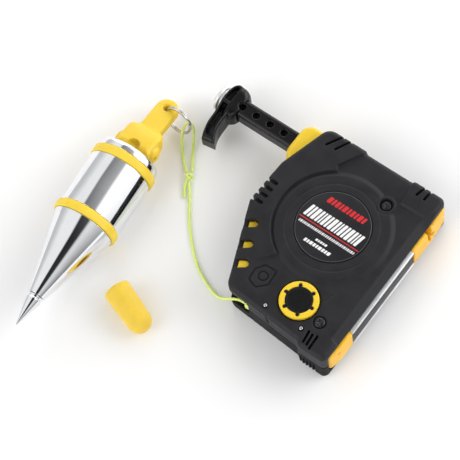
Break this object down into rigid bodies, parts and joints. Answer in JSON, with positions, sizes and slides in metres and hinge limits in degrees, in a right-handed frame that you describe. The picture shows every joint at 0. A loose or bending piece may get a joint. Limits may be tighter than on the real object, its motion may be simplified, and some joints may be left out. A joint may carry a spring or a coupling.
{
  "type": "plumb bob",
  "caption": "Steel plumb bob with a swivel head, split ring and cord, its spring reel case with magnet strip, lock dial and plunger arm, and a loose tip cap.",
  "frame": {"origin": "on the case's back face, under the reel's axle", "axes": "+Z out of the label face, +X out of the magnet face, +Y towards the side where the plunger arm slides"},
  "size_m": [0.1594, 0.1658, 0.0342],
  "materials": {
    "jacket_rubber": "satin",
    "housing_plastic": "gloss",
    "arm_plastic": "satin",
    "label_plastic": "satin",
    "polished_steel": "polished",
    "steel": "brushed",
    "magnet": "matte",
    "band_rubber": "satin",
    "cord_fibre": "braided"
  },
  "bodies": {
    "case": {"rear_jacket": "jacket_rubber", "front_jacket": "jacket_rubber", "label_disc": "label_plastic", "rear_housing": "housing_plastic", "front_housing": "housing_plastic", "base_block": "housing_plastic", "lower_pole_plate": "steel", "magnet": "magnet", "upper_pole_plate": "steel", "case_screw_1": "steel", "case_screw_2": "steel", "dowel_pin_1": "steel", "dowel_pin_2": "steel", "cord_guide": "cord_fibre", "roller_pin": "steel", "spool_axle": "steel", "arm_collar": "housing_plastic", "detent_spring": "steel", "cord_run": "cord_fibre"},
    "plunger": {"arm_bar": "arm_plastic", "t_handle": "arm_plastic", "strike_cap": "steel", "drive_pin": "steel"},
    "lock_dial": {"dial_ring": "housing_plastic", "dial_hub": "arm_plastic", "dial_cam": "arm_plastic"},
    "brake": {"brake_shoe": "band_rubber"},
    "reel": {"spool": "arm_plastic", "cord_pack": "cord_fibre", "power_spring": "steel"},
    "roller": {"guide_roller": "arm_plastic"},
    "ring": {"split_ring": "steel", "cord_loop": "cord_fibre", "cord_knot": "cord_fibre"},
    "bob_head": {"head": "housing_plastic", "cross_pin": "steel"},
    "stud": {"swivel_stud": "steel"},
    "weight": {"bob_body": "polished_steel", "bob_tip": "polished_steel", "lower_band": "band_rubber", "upper_band": "band_rubber", "swivel_nut": "steel"},
    "cap": {"tip_cap": "band_rubber"}
  },
  "joints": [
    {"name": "plunger_slide", "type": "slide", "parent": "case", "child": "plunger", "axis": [1, 0, 0], "range_m": [0, 0.0252]},
    {"name": "dial_turn", "type": "hinge", "parent": "case", "child": "lock_dial", "pos_m": [0.0087, -0.0391, 0.0233], "axis": [0, 0, 1], "range_deg": [0, 90]},
    {"name": "brake_travel", "type": "slide", "parent": "case", "child": "brake", "axis": [-0.2172, 0.9761, 0], "range_m": [0, 0.0008]},
    {"name": "bob_pull", "type": "slide", "parent": "case", "child": "ring", "axis": [-1, 0, 0], "range_m": [0, 0.06]},
    {"name": "reel_turn", "type": "hinge", "parent": "case", "child": "reel", "pos_m": [0, 0, 0.01], "axis": [0, 0, 1], "continuous": true},
    {"name": "roller_turn", "type": "hinge", "parent": "case", "child": "roller", "pos_m": [-0.0102, -0.0436, 0.00925], "axis": [0, 0, 1], "continuous": true},
    {"name": "head_swing", "type": "hinge", "parent": "ring", "child": "bob_head", "pos_m": [-0.1085, 0.00924, 0.01071], "axis": [0, 0, 1], "range_deg": [-60, 5]},
    {"name": "weight_tilt", "type": "hinge", "parent": "bob_head", "child": "stud", "pos_m": [-0.10581, -0.0183, 0.0171], "axis": [-0.9953, -0.0972, 0], "range_deg": [0, 26]},
    {"name": "weight_spin", "type": "hinge", "parent": "stud", "child": "weight", "pos_m": [-0.10581, -0.0183, 0.0171], "axis": [-0.0972, 0.9953, 0], "continuous": true},
    {"name": "cap_lift", "type": "slide", "parent": "case", "child": "cap", "axis": [0, 0, 1], "range_m": [0, 0.05]}
  ],
  "couplings": [
    {"joint": "brake_travel", "follows": "dial_turn", "m_per_rad": 0.0005093},
    {"joint": "reel_turn", "follows": "bob_pull", "rad_per_m": 47.619},
    {"joint": "roller_turn", "follows": "bob_pull", "rad_per_m": -476.19}
  ]
}
